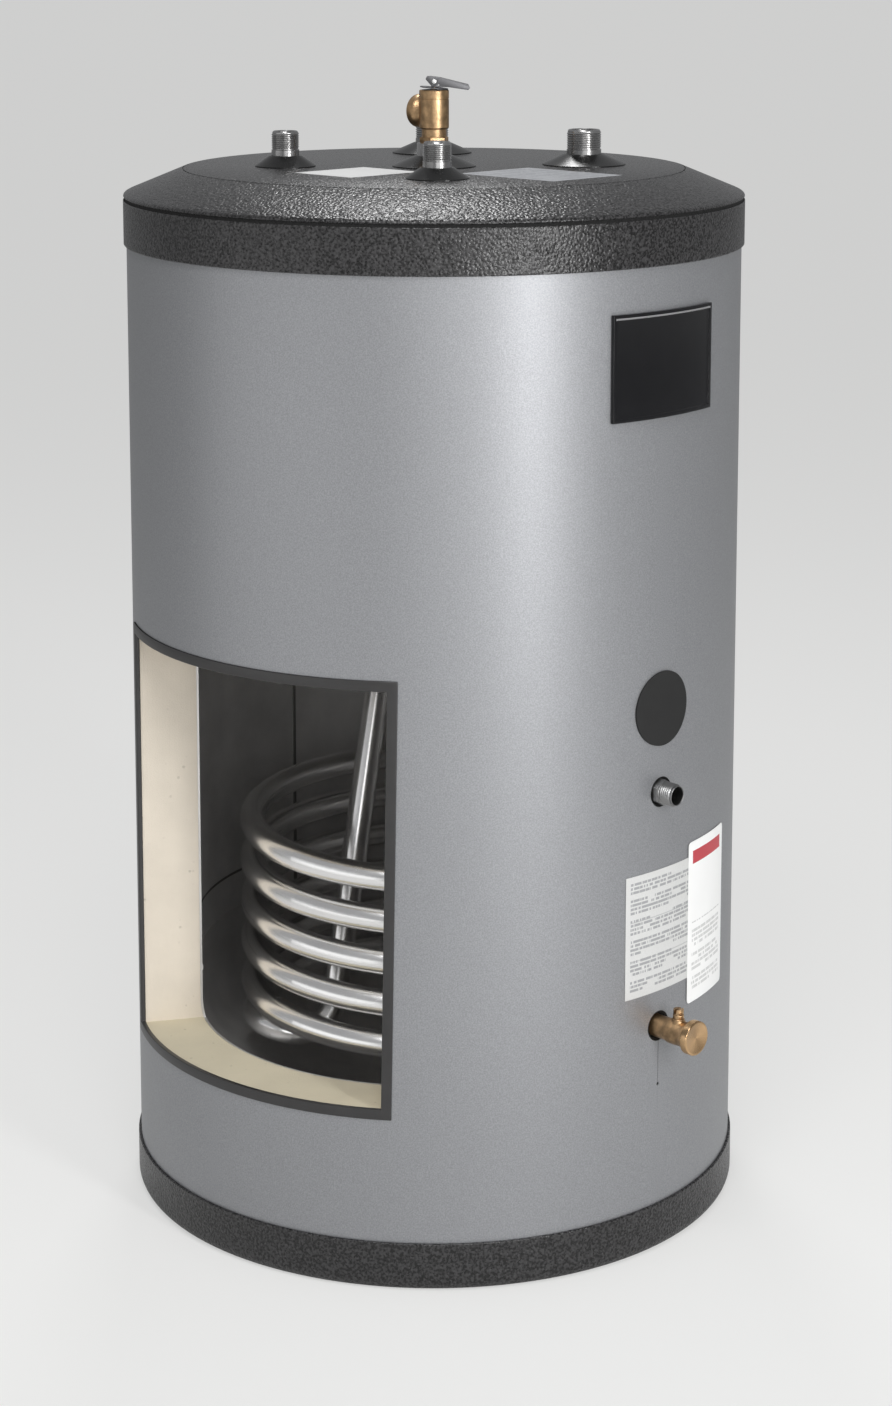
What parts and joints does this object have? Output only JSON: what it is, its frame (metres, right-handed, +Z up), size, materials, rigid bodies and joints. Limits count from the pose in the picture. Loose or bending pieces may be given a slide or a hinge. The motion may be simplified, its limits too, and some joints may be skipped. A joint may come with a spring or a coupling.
{
  "type": "indirect water heater",
  "caption": "Upright cylindrical indirect water heater, cut open by a window through jacket, foam and tank to show its coil, with ports and a relief valve on the lid and a drain valve.",
  "frame": {"origin": "where the heater's vertical axis meets the floor it stands on", "axes": "+Z up; -Y is the front, with the badge, control well and drain valve; the cutaway window faces -X"},
  "size_m": [0.596, 0.6403, 1.0929],
  "materials": {
    "jacket": "satin grey paint",
    "casing": "pebbled charcoal",
    "gloss_black": "gloss black",
    "foam": "cut rigid foam",
    "stainless": "brushed",
    "polished_steel": "drawn tube, polished",
    "brass": "machined",
    "steel": "mill finish",
    "rubber": "matt",
    "tube_plastic": "plain",
    "label_white": "printed film",
    "label_silver": "printed silver film"
  },
  "bodies": {
    "heater": {"base_pan": "casing", "jacket": "jacket", "jacket_rivets": "steel", "lid": "casing", "window_trim": "rubber", "foam_below_window": "foam", "foam_front": "foam", "foam_back": "foam", "foam_above_window": "foam", "foam_top": "foam", "foam_base": "foam", "tank_shell": "stainless", "tank_top_head": "stainless", "tank_bottom_head": "stainless", "tank_support_ring": "steel", "heat_exchanger_coil": "polished_steel", "cold_inlet_nipple": "polished_steel", "hot_outlet_nipple": "polished_steel", "boiler_supply_nipple": "polished_steel", "boiler_return_nipple": "polished_steel", "cold_inlet_collar": "gloss_black", "hot_outlet_collar": "gloss_black", "boiler_supply_collar": "gloss_black", "boiler_return_collar": "gloss_black", "relief_valve_collar": "gloss_black", "dip_tube": "tube_plastic", "relief_valve_coupling": "polished_steel", "relief_valve_body": "brass", "relief_valve_bonnet": "polished_steel", "relief_valve_spring": "steel", "temperature_probe": "brass", "drain_coupling": "stainless", "drain_valve_body": "brass", "drain_packing_nut": "brass", "well_coupling": "stainless", "control_well": "polished_steel", "front_hole_cover": "rubber", "badge": "gloss_black", "data_label": "label_silver", "side_label": "label_white", "white_top_label": "label_white", "silver_top_label": "label_silver"},
    "relief_stem": {"relief_valve_stem": "brass", "relief_valve_seal": "rubber", "relief_lever_pin": "polished_steel"},
    "relief_lever": {"relief_lever": "polished_steel"},
    "drain_stem": {"drain_valve_stem": "brass"},
    "cap_washer": {"drain_cap_washer": "rubber"},
    "cap": {"drain_cap": "brass"}
  },
  "joints": [
    {"name": "relief_stem_lift", "type": "slide", "parent": "heater", "child": "relief_stem", "axis": [0, 0, 1], "range_m": [0, 0.00308], "deforming": ["relief_valve_spring"]},
    {"name": "relief_lever_tilt", "type": "hinge", "parent": "relief_stem", "child": "relief_lever", "pos_m": [0, 0, 1.0879], "axis": [-0.7071, -0.7071, 0], "range_deg": [0, 80]},
    {"name": "drain_stem_turn", "type": "hinge", "parent": "heater", "child": "drain_stem", "pos_m": [0, -0.3197, 0.221], "axis": [0, 0, 1], "range_deg": [0, 90]},
    {"name": "drain_cap_slide", "type": "slide", "parent": "heater", "child": "cap_washer", "axis": [0, -1, 0], "range_m": [0, 0.00332]},
    {"name": "drain_cap_turn", "type": "hinge", "parent": "cap_washer", "child": "cap", "pos_m": [0, -0.3346, 0.221], "axis": [0, -1, 0], "range_deg": [0, 540]}
  ],
  "couplings": [
    {"joint": "relief_stem_lift", "follows": "relief_lever_tilt", "m_per_rad": 0.0022},
    {"joint": "drain_cap_slide", "follows": "drain_cap_turn", "m_per_rad": 0.00035152}
  ]
}
